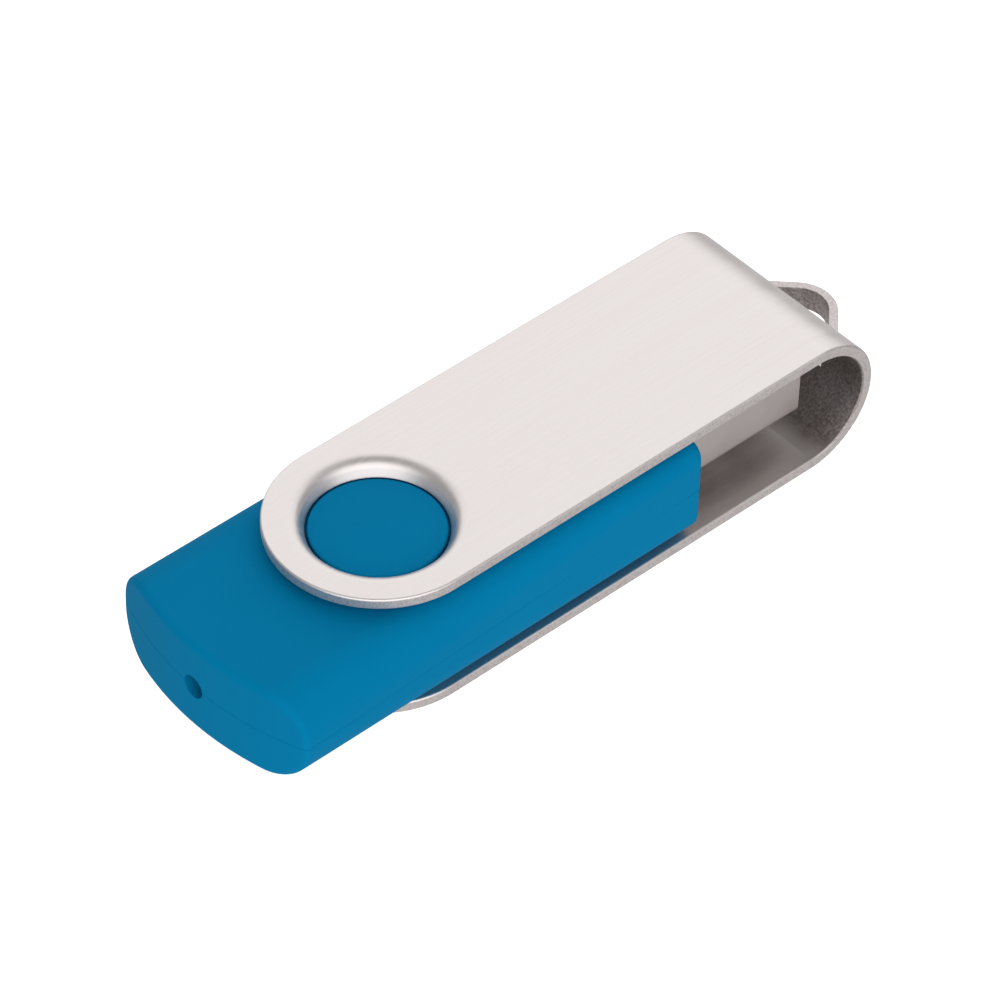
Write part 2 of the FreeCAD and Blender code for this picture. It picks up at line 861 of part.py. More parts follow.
def build_board():
    """The board, with holes for the shells' posts and open slots for the plug's solder tabs."""
    body = new_body("circuit_board")
    half_width = size("board_width") / 2
    plan = new_sketch(body, "XY", -(size("board_top") + size("board_thickness")))
    draw_rectangle(plan, -size("board_back"), size("board_front"), -half_width, half_width)
    pad(body, plan, size("board_thickness"))

    holes = new_sketch(body, "XY")
    for place, offset in post_places():
        draw_circle(holes, place, offset, size("board_hole_radius"))
    pocket(body, holes, THROUGH, symmetric=True)

    gap = size("board_slot_gap")
    slots = new_sketch(body, "XY")
    slot_end = size("plug_end") - size("plug_length") - size("tab_length") - gap
    for side in (1, -1):
        outer_y = (size("plug_width") / 2 + gap) * side
        inner_y = (size("plug_width") / 2 - size("plug_steel") - gap) * side
        draw_rectangle(slots, slot_end, size("board_front") + 1, inner_y, outer_y)
    pocket(body, slots, THROUGH, symmetric=True)
    return body


def build_package(label, place, offset, length, width, thickness, above):
    """A moulded package: a block with bevelled edges and a dimple that marks its first lead."""
    body = new_body(label)
    if above:
        seat = size("standoff") - size("board_top")
        face = seat + thickness
    else:
        seat = -(size("board_top") + size("board_thickness") + size("standoff"))
        face = seat - thickness
    plan = new_sketch(body, "XY", seat)
    draw_rectangle(plan, place - length / 2, place + length / 2, offset - width / 2, offset + width / 2)
    pad(body, plan, thickness, reverse=not above)

    def is_package_edge(edge):
        return lies_at_z(edge, face.value) or edge.BoundBox.ZLength > thickness.value / 2

    dress_edges("Chamfer", body, size("package_edge"), is_package_edge)
    mark = new_sketch(body, "XY", face)
    inset = size("dimple_radius") * 2
    draw_circle(mark, place - length / 2 + inset, offset - width / 2 + inset, size("dimple_radius"))
    pocket(body, mark, size("dimple_depth"), reverse=not above)
    return body


def lead_solid(lead_width, lead_reach, lead_rise):
    """One gull-wing lead. It leaves its package at X = 0 and stands on Z = 0."""
    strip = sheet.get("lead_strip")
    foot_start = lead_reach - sheet.get("lead_foot")
    knee = foot_start - strip
    outline = [
        (0, lead_rise), (knee + strip, lead_rise), (foot_start + strip, strip), (lead_reach, strip),
        (lead_reach, 0), (foot_start, 0), (knee, lead_rise - strip), (0, lead_rise - strip),
    ]
    points = [FreeCAD.Vector(x, -lead_width / 2, z) for x, z in outline + outline[:1]]
    return Part.Face(Part.makePolygon(points)).extrude(FreeCAD.Vector(0, lead_width, 0))


def lead_row(count, pitch, lead, turn, edge_distance):
    """A row of leads along one side of a package, the side that faces the given turn."""
    row_of_leads = []
    for number in range(count):
        solid = lead.copy()
        solid.translate(FreeCAD.Vector(edge_distance, (number - (count - 1) / 2) * pitch, 0))
        solid.rotate(FreeCAD.Vector(0, 0, 0), FreeCAD.Vector(0, 0, 1), turn)
        row_of_leads.append(solid)
    return row_of_leads


def add_loose_solids(label, solids, place, offset, above):
    """One sub-part of many separate solids, moved to their place on the upper or lower face."""
    board_face = -sheet.get("board_top")
    if not above:
        board_face -= sheet.get("board_thickness")
    moved = []
    for solid in solids:
        if not above:
            solid.rotate(FreeCAD.Vector(0, 0, 0), FreeCAD.Vector(1, 0, 0), 180)
        solid.translate(FreeCAD.Vector(place, offset, board_face))
        moved.append(solid)
    group = document.addObject("Part::Feature", label)
    group.Label = label
    group.Shape = Part.makeCompound(moved)
    return group


def build_flash_leads():
    """Rows of leads are many separate solids, so they are set with Part's own functions."""
    rise = sheet.get("flash_thickness") / 2
    lead = lead_solid(sheet.get("lead_width"), sheet.get("lead_reach"), rise)
    solids = []
    for turn in (0, 180):
        solids += lead_row(FLASH_LEADS_PER_END, sheet.get("lead_pitch"), lead, turn,
                           sheet.get("flash_length") / 2)
    return add_loose_solids("flash_memory_leads", solids, sheet.get("flash_place"), 0, True)


def build_controller_leads():
    rise = sheet.get("controller_thickness") / 2
    lead = lead_solid(sheet.get("lead_width"), sheet.get("lead_reach"), rise)
    solids = []
    for turn in (0, 90, 180, 270):
        solids += lead_row(CONTROLLER_LEADS_PER_SIDE, sheet.get("lead_pitch"), lead, turn,
                           sheet.get("controller_side") / 2)
    return add_loose_solids("controller_leads", solids, sheet.get("controller_place"), 0, False)


def build_regulator_leads():
    """Three leads on one side and two on the other."""
    rise = sheet.get("regulator_thickness") / 2
    lead = lead_solid(sheet.get("regulator_lead_width"), sheet.get("lead_reach"), rise)
    pitch = sheet.get("regulator_lead_pitch")
    edge_distance = sheet.get("regulator_length") / 2
    solids = lead_row(3, pitch, lead, 0, edge_distance) + lead_row(2, pitch * 2, lead, 180, edge_distance)
    place = sheet.get("regulator_place")
    return add_loose_solids("voltage_regulator_leads", solids, place, sheet.get("regulator_offset"), True)


def add_block(name, place, offset, length, width, height, above):
    """A Part::Box on the board's upper or lower face, centred on its place."""
    block = document.addObject("Part::Box", name)
    bind(block, "Length", length)
    bind(block, "Width", width)
    bind(block, "Height", height)
    board_face = -size("board_top") if above else -(size("board_top") + size("board_thickness") + height)
    bind(block, "Placement.Base.x", as_length(place) - length / 2)
    bind(block, "Placement.Base.y", as_length(offset) - width / 2)
    bind(block, "Placement.Base.z", board_face)
    return block


def build_chip_parts(label, height, above, below):
    """Identical chip parts on both faces of the board, as one group of separate solids."""
    length = size("chip_part_length")
    width = size("chip_part_width")
    blocks = []
    for place, offset in above:
        blocks.append(add_block(f"{label}_block", place, offset, length, width, height, True))
    for place, offset in below:
        blocks.append(add_block(f"{label}_block", place, offset, length, width, height, False))
    group = document.addObject("Part::Compound", label)
    group.Label = label
    group.Links = blocks
    return group


def build_block_body(label, place, offset, length, width, low, height, inset=0):
    """A small part moulded as a block with rounded upright edges, from a low height upwards."""
    body = new_body(label)
    plan = new_sketch(body, "XY", low)
    half_length = length / 2 - inset
    half_width = width / 2 - inset
    draw_rectangle(plan, place - half_length, place + half_length, offset - half_width, offset + half_width)
    pad(body, plan, height)

    def is_upright(edge):
        return edge.BoundBox.ZLength > height.value / 2

    dress_edges("Fillet", body, size("package_edge"), is_upright)
    return body


def build_small_bodies():
    """The clock crystal under the board, the activity LED behind its window and the ferrite bead."""
    zero = as_length(0)
    place = size("crystal_place")
    length = size("crystal_length")
    width = size("crystal_width")
    underside = -(size("board_top") + size("board_thickness"))
    base_low = underside - size("crystal_base_height")
    lid_low = base_low - size("crystal_lid_height")
    board_top = -size("board_top")
    return [
        build_block_body("crystal_base", place, zero, length, width, base_low, size("crystal_base_height")),
        build_block_body("crystal_lid", place, zero, length, width, lid_low, size("crystal_lid_height"),
                         inset=size("crystal_lid_inset")),
        build_block_body("activity_led", size("led_place"), zero, size("led_length"), size("led_width"),
                         board_top, size("led_height")),
        build_block_body("ferrite_bead", size("bead_place"), size("bead_offset"), size("bead_length"),
                         size("bead_width"), board_top, size("bead_height")),
    ]


def build_packages():
    zero = as_length(0)
    return [
        build_package("flash_memory_chip", size("flash_place"), zero, size("flash_length"),
                      size("flash_width"), size("flash_thickness"), True),
        build_package("controller_chip", size("controller_place"), zero, size("controller_side"),
                      size("controller_side"), size("controller_thickness"), False),
        build_package("voltage_regulator", size("regulator_place"), size("regulator_offset"),
                      size("regulator_length"), size("regulator_width"), size("regulator_thickness"), True),
    ]


# ---------------------------------------------------------------- the whole object


def build_all():
    sub_parts = [build_shell("upper_shell", True), build_shell("lower_shell", False), build_clip()]
    sub_parts += [build_plug_shell(), build_plug_tongue()]
    sub_parts += [build_contact(label, place, reach) for label, place, reach in contact_places()]
    sub_parts.append(build_board())
    sub_parts += build_packages()
    sub_parts += [build_flash_leads(), build_controller_leads(), build_regulator_leads()]
    sub_parts += build_small_bodies()
    sub_parts.append(
        build_chip_parts("capacitors", size("capacitor_height"), CAPACITORS_ABOVE, CAPACITORS_BELOW))
    sub_parts.append(build_chip_parts("resistors", size("resistor_height"), RESISTORS_ABOVE, RESISTORS_BELOW))
    return sub_parts


def check_document():
    """Stop if any object of the document failed to recompute."""
    for item in document.Objects:
        if "Invalid" in item.State or "Error" in item.State:
            raise ValueError(f"{item.Name} failed: {item.State}")


def export(sub_parts):
    os.makedirs("parts", exist_ok=True)
    for sub_part in sub_parts:
        shape = sub_part.Shape
        if shape.isNull() or not shape.isValid():
            raise ValueError(f"{sub_part.Label} has no valid shape")
    for sub_part in sub_parts:
        sub_part.Shape.exportStep(f"parts/{sub_part.Label}.step")


all_sub_parts = build_all()
for each in all_sub_parts:
    place_in_frame(each)
document.recompute()
check_document()
export(all_sub_parts)
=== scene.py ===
"""Looks of a swivel USB flash drive: a blue soft-touch drive in a brushed aluminium clip.

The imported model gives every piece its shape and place. This script gives each piece its finish and lights
the object in a plain studio. The sizes of finishes and sub-assemblies are in millimetres.
"""

import logging
import math
from dataclasses import dataclass
from enum import Enum

import bpy
from mathutils import Matrix, Vector


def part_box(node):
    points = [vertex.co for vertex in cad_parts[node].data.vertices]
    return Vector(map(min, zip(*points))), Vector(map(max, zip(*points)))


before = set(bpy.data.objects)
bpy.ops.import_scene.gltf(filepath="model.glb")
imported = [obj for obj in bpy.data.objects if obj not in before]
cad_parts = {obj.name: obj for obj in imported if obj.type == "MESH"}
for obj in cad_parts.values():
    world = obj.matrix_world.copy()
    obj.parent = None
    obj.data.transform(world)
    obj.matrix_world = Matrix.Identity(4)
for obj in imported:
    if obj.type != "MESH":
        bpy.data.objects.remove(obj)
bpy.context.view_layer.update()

log = logging.getLogger("usb_flash_drive")

MM = 0.001
WHITE = "ffffff"


# ---------------------------------------------------------------- shared helpers


def linear_colour(hex_code: str) -> tuple[float, float, float, float]:
    """Turns an sRGB hex colour into the linear colour that a shader takes.

    Args:
        hex_code: six hex digits, such as "0086b9".

    Returns:
        Red, green, blue and an alpha of 1.
    """
    channels = [int(hex_code[start:start + 2], 16) / 255 for start in (0, 2, 4)]
    linear = [c / 12.92 if c <= 0.04045 else ((c + 0.055) / 1.055) ** 2.4 for c in channels]
    return linear[0], linear[1], linear[2], 1.0


def per_mm(size: float) -> float:
    """Turns the size of a pattern's features, in millimetres, into a noise scale."""
    return 1.0 / (size * MM)


def add_node(
    tree: bpy.types.NodeTree,
    kind: str,
    settings: dict[str, object] | None = None,
    values: dict[str | int, object] | None = None,
    links: dict[str | int, bpy.types.NodeSocket] | None = None,
) -> bpy.types.Node:
    """Adds one node with its settings, socket values and incoming links.

    Args:
        tree: the node tree that gets the node.
        kind: the node's type name without its ShaderNode prefix.
        settings: attributes of the node itself.
        values: values for input sockets, by name or index.
        links: output sockets to link into input sockets, by name or index.

    Returns:
        The new node.
    """
    node = tree.nodes.new(f"ShaderNode{kind}")
    for name, setting in (settings or {}).items():
        setattr(node, name, setting)
    for socket, value in (values or {}).items():
        node.inputs[socket].default_value = value
    for socket, source in (links or {}).items():
        tree.links.new(source, node.inputs[socket])
    return node


def new_material(name: str) -> tuple[bpy.types.Material, bpy.types.NodeTree, bpy.types.NodeSocket]:
    """Makes a material with an empty tree and object coordinates.

    Args:
        name: the material's name.

    Returns:
        The material, its tree and the socket that gives object coordinates.
    """
    material = bpy.data.materials.new(name)
    material.use_nodes = True
    tree = material.node_tree
    tree.nodes.clear()
    return material, tree, add_node(tree, "TexCoord").outputs["Object"]


def dress(piece: bpy.types.Object, material: bpy.types.Material) -> None:
    """Gives every material slot of a piece the same material, and reports it.

    Args:
        piece: the object to dress.
        material: its finish.
    """
    if not piece.material_slots:
        piece.data.materials.append(material)
    for slot in piece.material_slots:
        slot.material = material
    log.info("%s: %s", piece.name, material.name)


def direction(azimuth: float, elevation: float) -> Vector:
    """Works out the direction from the object to a place round it.

    Args:
        azimuth: degrees round Z, from the object's near side.
        elevation: degrees above the floor.

    Returns:
        A unit vector.
    """
    turn = math.radians(azimuth)
    rise = math.radians(elevation)
    return Vector((math.sin(turn) * math.cos(rise), -math.cos(turn) * math.cos(rise), math.sin(rise)))


# ---------------------------------------------------------------- finishes


@dataclass(frozen=True)
class SoftTouchPlastic:
    """ABS moulding with a rubbery soft-touch lacquer, in millimetres.

    The lacquer hides the mould's own gloss and spreads highlights wide, so the blue looks deep, even and
    matt, with a grain too fine to see one by one.
    """

    name: str = "soft_touch_abs"
    colour: str = "007fb1"
    pale_colour: str = "0084b6"
    roughness: float = 0.62
    roughness_spread: float = 0.05
    ior: float = 1.46
    specular_level: float = 0.03  # the lacquer has next to no gloss
    grain_pitch: float = 0.09  # the real grain is about 0.03 mm: drawn coarser, so that it shows
    grain_strength: float = 0.25
    grain_depth: float = 0.004
    mottle_pitch: float = 6.0

    def build(self) -> bpy.types.Material:
        """Makes the material.

        Returns:
            The material.
        """
        material, tree, place = new_material(self.name)
        mottle = add_node(tree, "TexNoise", values={"Scale": per_mm(self.mottle_pitch), "Detail": 3.0},
                          links={"Vector": place})
        grain = add_node(tree, "TexNoise", values={"Scale": per_mm(self.grain_pitch), "Detail": 2.0},
                         links={"Vector": place})
        blue = add_node(tree, "Mix", {"data_type": "RGBA"},
                        {"A": linear_colour(self.colour), "B": linear_colour(self.pale_colour)},
                        {"Factor": mottle.outputs["Fac"]})
        gloss = add_node(tree, "MapRange",
                         values={"To Min": self.roughness - self.roughness_spread,
                                 "To Max": self.roughness + self.roughness_spread},
                         links={"Value": grain.outputs["Fac"]})
        relief = add_node(tree, "Bump",
                          values={"Strength": self.grain_strength, "Distance": self.grain_depth * MM},
                          links={"Height": grain.outputs["Fac"]})
        shader = add_node(tree, "BsdfPrincipled",
                          values={"IOR": self.ior, "Specular IOR Level": self.specular_level},
                          links={"Base Color": blue.outputs["Result"], "Roughness": gloss.outputs["Result"],
                                 "Normal": relief.outputs["Normal"]})
        add_node(tree, "OutputMaterial", links={"Surface": shader.outputs["BSDF"]})
        return material


@dataclass(frozen=True)
class BrushedAluminium:
    """Aluminium sheet brushed along its length, with sheared edges and a formed bend, in millimetres.

    Brushing leaves fine lines that stretch reflections, so the flats look satin and nearly white. Shears
    tear the edges, which look grainy. Forming stretches and pits the inside of the bend, which looks dull;
    its colour there is darkened further with painted shade.
    """

    name: str = "brushed_aluminium"
    colour: str = "f1ebe9"
    streak_colour: str = "e6dfdd"
    edge_colour: str = "e2dbd9"
    torn_colour: str = "cbc3c1"
    # inside of the bend: duller pitted metal, darkened further with painted shade
    shaded_formed_colour: str = "bdb4b1"
    shaded_pit_colour: str = "928987"
    roughness: float = 0.42
    roughness_spread: float = 0.06
    edge_roughness: float = 0.55
    streak_pitch: float = 0.22  # real brush lines are about 0.05 mm apart: drawn coarser, so that they show
    streak_length: float = 9.0
    band_pitch: float = 2.2
    band_length: float = 40.0
    band_share: float = 0.45
    tear_pitch: float = 0.16  # coarser than real tears, so that the edge looks grainy
    pit_pitch: float = 0.22
    brush_strength: float = 0.22
    brush_depth: float = 0.008
    pit_depth: float = 0.05
    bend_blend: float = 0.5
    loop_blend: float = 0.2

    def build(self, bend_start: float, loop_start: float) -> bpy.types.Material:
        """Makes the material.

        Args:
            bend_start: X in metres at which the flat arms turn into the bend.
            loop_start: X in metres from which only the keyring loop is left.

        Returns:
            The material.
        """
        material, tree, place = new_material(self.name)
        brushing, tears, pits = self._patterns(tree, place)
        edge, formed_and_shaded = self._surface_masks(tree, place, bend_start, loop_start)
        shades = {}
        for surface, low, high, amount in (("flat", self.streak_colour, self.colour, brushing),
                                           ("edge", self.torn_colour, self.edge_colour, tears),
                                           # the bend's inside: painted shade on top of its duller, pitted
                                           # tone
                                           ("formed_and_shaded", self.shaded_pit_colour, self.shaded_formed_colour, pits)):
            shades[surface] = add_node(tree, "Mix", {"data_type": "RGBA"},
                                       {"A": linear_colour(low), "B": linear_colour(high)},
                                       {"Factor": amount["stretched"]}).outputs["Result"]
        outside = add_node(tree, "Mix", {"data_type": "RGBA"},
                           links={"Factor": edge, "A": shades["flat"], "B": shades["edge"]})
        colour = add_node(tree, "Mix", {"data_type": "RGBA"},
                          links={"Factor": formed_and_shaded, "A": outside.outputs["Result"], "B": shades["formed_and_shaded"]})
        gloss = add_node(tree, "MapRange",
                         values={"To Min": self.roughness - self.roughness_spread,
                                 "To Max": self.roughness + self.roughness_spread},
                         links={"Value": brushing["stretched"]})
        rough = add_node(tree, "Mix", {"data_type": "FLOAT"}, {"B": self.edge_roughness},
                         {"Factor": edge, "A": gloss.outputs["Result"]})
        height = add_node(tree, "Mix", {"data_type": "FLOAT"},
                          links={"Factor": edge, "A": brushing["stretched"], "B": tears["plain"]})
        relief = add_node(tree, "Bump",
                          values={"Strength": self.brush_strength, "Distance": self.brush_depth * MM},
                          links={"Height": height.outputs["Result"]})
        pitting = add_node(tree, "Bump", values={"Distance": self.pit_depth * MM},
                           links={"Strength": formed_and_shaded, "Height": pits["plain"],
                                  "Normal": relief.outputs["Normal"]})
        shader = add_node(tree, "BsdfPrincipled", values={"Metallic": 1.0},
                          links={"Base Color": colour.outputs["Result"], "Roughness": rough.outputs["Result"],
                                 "Normal": pitting.outputs["Normal"]})
        add_node(tree, "OutputMaterial", links={"Surface": shader.outputs["BSDF"]})
        return material

    def _patterns(
        self, tree: bpy.types.NodeTree, place: bpy.types.NodeSocket
    ) -> list[dict[str, bpy.types.NodeSocket]]:
        """Draws the brushing, the torn edges and the pits.

        The brushing mixes fine lines with wider, fainter bands, both drawn out along the clip.

        Args:
            tree: the material's node tree.
            place: object coordinates.

        Returns:
            For each of the three patterns, its plain value and its value stretched for more contrast.
        """
        layers = []
        for length, pitch, detail in ((self.streak_length, self.streak_pitch, 4.0),
                                      (self.band_length, self.band_pitch, 3.0)):
            drawn_out = add_node(tree, "Mapping", links={"Vector": place},
                                 values={"Scale": (per_mm(length), per_mm(pitch), per_mm(length))})
            layers.append(add_node(tree, "TexNoise",
                                   values={"Scale": 1.0, "Detail": detail, "Roughness": 0.6},
                                   links={"Vector": drawn_out.outputs["Vector"]}))
        lines, bands = layers
        brushing = add_node(tree, "Mix", {"data_type": "FLOAT"}, {"Factor": self.band_share},
                            {"A": lines.outputs["Fac"], "B": bands.outputs["Fac"]})
        tears = add_node(tree, "TexNoise", values={"Scale": per_mm(self.tear_pitch), "Detail": 3.0},
                         links={"Vector": place})
        pits = add_node(tree, "TexNoise",
                        values={"Scale": per_mm(self.pit_pitch), "Detail": 4.0, "Roughness": 0.65},
                        links={"Vector": place})
        patterns = []
        for plain, low, high in ((brushing.outputs["Result"], 0.25, 0.75),
                                 (tears.outputs["Fac"], 0.3, 0.6),
                                 (pits.outputs["Fac"], 0.35, 0.65)):
            stretched = add_node(tree, "MapRange", {"interpolation_type": "SMOOTHSTEP"},
                                 {"From Min": low, "From Max": high}, {"Value": plain})
            patterns.append({"plain": plain, "stretched": stretched.outputs["Result"]})
        return patterns

    def _surface_masks(
        self, tree: bpy.types.NodeTree, place: bpy.types.NodeSocket, bend_start: float, loop_start: float
    ) -> tuple[bpy.types.NodeSocket, bpy.types.NodeSocket]:
        """Finds the sheared edges and the inside of the bend from the way each face looks.

        The arms' edges stand upright, the bend's edges look sideways, and the loop's look up and down.

        Args:
            tree: the material's node tree.
            place: object coordinates.
            bend_start: X in metres at which the flat arms turn into the bend.
            loop_start: X in metres from which only the keyring loop is left.

        Returns:
            A mask of the sheared edges and a mask of the bend's inside, which gets the pitting and the
            painted shade.
        """
        along = add_node(tree, "SeparateXYZ", links={"Vector": place}).outputs["X"]
        normal = add_node(tree, "SeparateXYZ", links={"Vector": add_node(tree, "TexCoord").outputs["Normal"]})
        sideways, level = [add_node(tree, "Math", {"operation": "ABSOLUTE"}, links={0: normal.outputs[axis]})
                           for axis in ("Y", "Z")]
        masks = {}
        for mask, value, low, high in (
            ("in_bend", along, bend_start - self.bend_blend * MM, bend_start + self.bend_blend * MM),
            ("in_loop", along, loop_start, loop_start + self.loop_blend * MM),
            ("upright", level.outputs[0], 0.42, 0.15),
            ("sideways", sideways.outputs[0], 0.6, 0.9),
            ("level", level.outputs[0], 0.6, 0.9),
            ("inwards", normal.outputs["X"], -0.1, -0.45),
        ):
            masks[mask] = add_node(tree, "MapRange", {"interpolation_type": "SMOOTHSTEP"},
                                   {"From Min": low, "From Max": high}, {"Value": value}).outputs["Result"]
        sheet_edge = add_node(tree, "Mix", {"data_type": "FLOAT"},
                              links={"Factor": masks["in_bend"], "A": masks["upright"],
                                     "B": masks["sideways"]})
        edge = add_node(tree, "Mix", {"data_type": "FLOAT"},
                        links={"Factor": masks["in_loop"], "A": sheet_edge.outputs["Result"],
                               "B": masks["level"]})
        # the bend's inside: where the pitting and the painted shade go
        formed_and_shaded = add_node(tree, "Math", {"operation": "MULTIPLY"},
                          links={0: masks["inwards"], 1: masks["in_bend"]})
        return edge.outputs["Result"], formed_and_shaded.outputs[0]


@dataclass(frozen=True)
class PlatedMetal:
    """Pressed sheet with a thin bright plating, in millimetres.

    Rolling marks under the plating blur reflections a little along the sheet, and handling clouds it.
    """

    name: str
    colour: str
    dull_colour: str
    roughness: float = 0.3
    smoother: float = 0.05
    rougher: float = 0.08
    mark_pitch: float = 0.4
    mark_length: float = 6.0
    mark_strength: float = 0.2
    mark_depth: float = 0.004
    cloud_pitch: float = 3.0

    def build(self) -> bpy.types.Material:
        """Makes the material.

        Returns:
            The material.
        """
        material, tree, place = new_material(self.name)
        drawn_out = add_node(tree, "Mapping", links={"Vector": place},
                             values={"Scale": (per_mm(self.mark_length), per_mm(self.mark_pitch),
                                               per_mm(self.mark_pitch))})
        marks = add_node(tree, "TexNoise", values={"Scale": 1.0, "Detail": 3.0},
                         links={"Vector": drawn_out.outputs["Vector"]})
        clouds = add_node(tree, "TexNoise", values={"Scale": per_mm(self.cloud_pitch), "Detail": 4.0},
                          links={"Vector": place})
        plating = add_node(tree, "Mix", {"data_type": "RGBA"},
                           {"A": linear_colour(self.dull_colour), "B": linear_colour(self.colour)},
                           {"Factor": clouds.outputs["Fac"]})
        gloss = add_node(tree, "MapRange",
                         values={"To Min": self.roughness - self.smoother,
                                 "To Max": self.roughness + self.rougher},
                         links={"Value": marks.outputs["Fac"]})
        relief = add_node(tree, "Bump",
                          values={"Strength": self.mark_strength, "Distance": self.mark_depth * MM},
                          links={"Height": marks.outputs["Fac"]})
        shader = add_node(tree, "BsdfPrincipled", values={"Metallic": 1.0},
                          links={"Base Color": plating.outputs["Result"],
                                 "Roughness": gloss.outputs["Result"], "Normal": relief.outputs["Normal"]})
        add_node(tree, "OutputMaterial", links={"Surface": shader.outputs["BSDF"]})
        return material


@dataclass(frozen=True)
class MouldedResin:
    """Moulded, glazed or fired non-metal, in millimetres.

    A fine grain from the mould or the firing breaks up the highlight, and slight clouding varies the colour.
    """

    name: str
    colour: str
    cloud_colour: str
    roughness: float = 0.5
    roughness_spread: float = 0.06
    ior: float = 1.5
    grain_pitch: float = 0.1
    grain_strength: float = 0.4
    grain_depth: float = 0.006
    cloud_pitch: float = 2.0

    def build(self) -> bpy.types.Material:
        """Makes the material.

        Returns:
            The material.
        """
        material, tree, place = new_material(self.name)
        grain = add_node(tree, "TexNoise", values={"Scale": per_mm(self.grain_pitch), "Detail": 3.0},
                         links={"Vector": place})
        clouds = add_node(tree, "TexNoise", values={"Scale": per_mm(self.cloud_pitch), "Detail": 2.0},
                          links={"Vector": place})
        body = add_node(tree, "Mix", {"data_type": "RGBA"},
                        {"A": linear_colour(self.colour), "B": linear_colour(self.cloud_colour)},
                        {"Factor": clouds.outputs["Fac"]})
        gloss = add_node(tree, "MapRange",
                         values={"To Min": self.roughness - self.roughness_spread,
                                 "To Max": self.roughness + self.roughness_spread},
                         links={"Value": grain.outputs["Fac"]})
        relief = add_node(tree, "Bump",
                          values={"Strength": self.grain_strength, "Distance": self.grain_depth * MM},
                          links={"Height": grain.outputs["Fac"]})
        shader = add_node(tree, "BsdfPrincipled", values={"IOR": self.ior},
                          links={"Base Color": body.outputs["Result"], "Roughness": gloss.outputs["Result"],
                                 "Normal": relief.outputs["Normal"]})
        add_node(tree, "OutputMaterial", links={"Surface": shader.outputs["BSDF"]})
        return material


@dataclass(frozen=True)
class LitAcrylic:
    """White acrylic sheet of a light table, lit from below: it glows evenly, so it looks plain white."""

    name: str = "lit_white_acrylic"
    colour: str = "f4f4f4"
    cloud_colour: str = "f6f6f6"
    cloud_pitch: float = 60.0
    roughness: float = 0.8
    specular_level: float = 0.2
    glow: float = 0.8

    def build(self) -> bpy.types.Material:
        """Makes the material.

        Returns:
            The material.
        """
        material, tree, place = new_material(self.name)
        clouds = add_node(tree, "TexNoise", values={"Scale": per_mm(self.cloud_pitch)},
                          links={"Vector": place})
        white = add_node(tree, "Mix", {"data_type": "RGBA"},
                         {"A": linear_colour(self.colour), "B": linear_colour(self.cloud_colour)},
                         {"Factor": clouds.outputs["Fac"]})
        shader = add_node(tree, "BsdfPrincipled",
                          values={"Roughness": self.roughness, "Specular IOR Level": self.specular_level,
                                  "Emission Color": linear_colour(WHITE), "Emission Strength": self.glow},
                          links={"Base Color": white.outputs["Result"]})
        add_node(tree, "OutputMaterial", links={"Surface": shader.outputs["BSDF"]})
        return material


# ---------------------------------------------------------------- sub-assemblies


@dataclass
class DriveShells:
    """The two half shells of the drive, with their round pivot buttons."""

    finish: SoftTouchPlastic = SoftTouchPlastic()

    def dress(self) -> None:
        """Gives both shells the same lacquer."""
        material = self.finish.build()
        for node in ("upper_shell", "lower_shell"):
            dress(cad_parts[node], material)


@dataclass
class SwivelClip:
    """The bent metal clip with its drawn-in holes and keyring loop."""

    loop_reach: float = 3.5
    finish: BrushedAluminium = BrushedAluminium()

    def dress(self) -> None:
        """Gives the clip its finish: the bend starts beside the plug's mouth, and the loop stands past it."""
        plug_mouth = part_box("plug_shell")[1].x
        loop_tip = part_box("swivel_clip")[1].x
        material = self.finish.build(bend_start=plug_mouth, loop_start=loop_tip - self.loop_reach * MM)
        dress(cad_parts["swivel_clip"], material)


@dataclass
class UsbPlug:
    """The USB-A plug: folded steel shell, insulator and four contacts."""

    # Folded steel, nickel plated: pale, with a blurred shine.
    shell_finish: PlatedMetal = PlatedMetal("nickel_plated_steel", "d6cecb", "c4bbb8", roughness=0.34)
    # Glass-filled nylon, moulded: an off-white satin.
    tongue_finish: MouldedResin = MouldedResin("white_thermoplastic", "ecebe6", "f4f3ef", roughness=0.4)
    # Phosphor bronze strip, gold plated: bright and warm.
    contact_finish: PlatedMetal = PlatedMetal("gold_plated_bronze", "f0c770", "dcae57", roughness=0.24,
                                              cloud_pitch=1.0)

    def dress(self) -> None:
        """Gives the plug's pieces their finishes."""
        dress(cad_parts["plug_shell"], self.shell_finish.build())
        dress(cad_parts["plug_tongue"], self.tongue_finish.build())
        gold = self.contact_finish.build()
        for node in ("contact_vbus", "contact_data_minus", "contact_data_plus", "contact_ground"):
            dress(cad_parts[node], gold)


